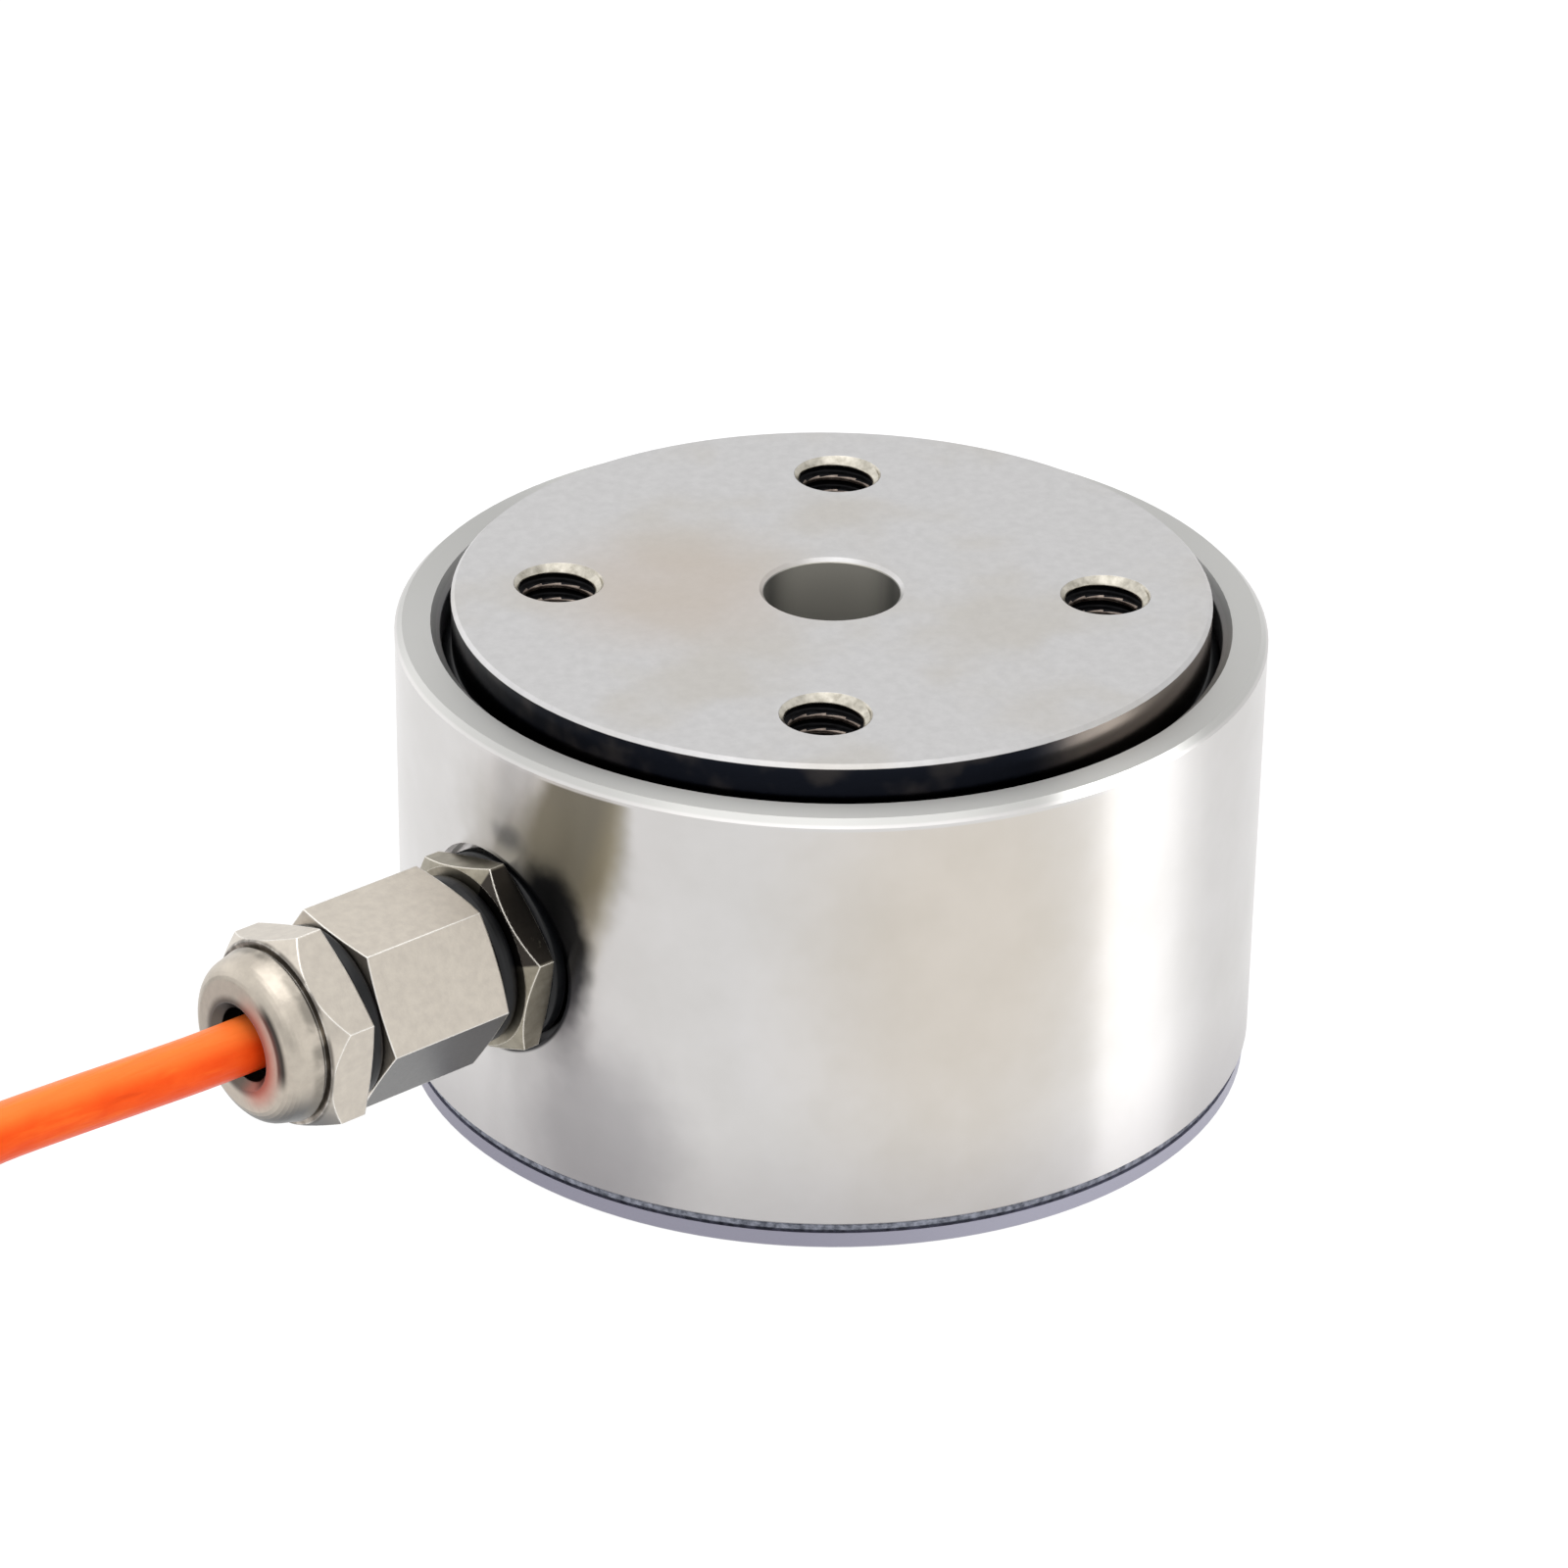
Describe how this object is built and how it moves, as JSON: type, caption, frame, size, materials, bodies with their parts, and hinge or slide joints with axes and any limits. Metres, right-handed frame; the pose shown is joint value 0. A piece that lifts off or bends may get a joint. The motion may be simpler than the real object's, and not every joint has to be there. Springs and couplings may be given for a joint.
{
  "type": "column load cell",
  "caption": "Round steel load cell with a turned spring element, through bore, tapped bolt circles, a side cable gland and a coiled cable.",
  "frame": {"origin": "middle of the base's underside, on the load axis", "axes": "+Z along the load axis towards the loading face; the cable leaves along -X; +Y completes a right-handed frame"},
  "size_m": [0.1965, 0.1191, 0.046],
  "materials": {
    "turned_steel": "ground stainless steel",
    "polished_steel": "polished stainless steel",
    "weld": "rough weld seam",
    "nickel": "satin nickel plating on brass",
    "dark_nickel": "aged nickel plating on brass",
    "black_rubber": "matte",
    "orange_jacket": "satin polyurethane",
    "gauge_foil": "polyimide with etched foil",
    "copper": "bare copper strands",
    "enamel": "enamelled copper wire",
    "board": "glass epoxy with solder mask",
    "brass": "turned brass",
    "zinc_steel": "zinc plating",
    "resistor": "lacquer",
    "claw_plastic": "polyamide",
    "black_plastic": "satin",
    "red_wire": "satin",
    "black_wire": "satin",
    "green_wire": "satin",
    "white_wire": "satin"
  },
  "bodies": {
    "root": {"spring_element": "turned_steel", "housing_sleeve": "polished_steel", "weld_seam": "weld", "top_seal": "black_rubber", "gauge_1": "gauge_foil", "gauge_2": "gauge_foil", "gauge_3": "gauge_foil", "gauge_4": "gauge_foil", "bridge_wiring": "enamel", "bridge_board": "board", "board_standoffs": "brass", "board_screws": "zinc_steel", "trim_resistors": "resistor", "solder_pins": "brass", "core_red": "red_wire", "core_black": "black_wire", "core_green": "green_wire", "core_white": "white_wire", "drain_wire": "copper", "gland_washer": "black_rubber", "lock_nut": "dark_nickel", "inner_seal_ring": "black_rubber", "gland_body": "nickel", "outer_seal_ring": "black_rubber", "clamp_claw": "claw_plastic", "grip_seal": "black_rubber", "cap_nut": "nickel", "cable_inner": "orange_jacket", "cable_run": "orange_jacket", "cable_coil": "orange_jacket", "cable_tail": "orange_jacket", "coil_tie_1": "black_plastic", "coil_tie_2": "black_plastic", "end_sleeve": "black_plastic", "lead_red": "red_wire", "lead_black": "black_wire", "lead_green": "green_wire", "lead_white": "white_wire", "lead_drain": "copper"}
  },
  "joints": []
}
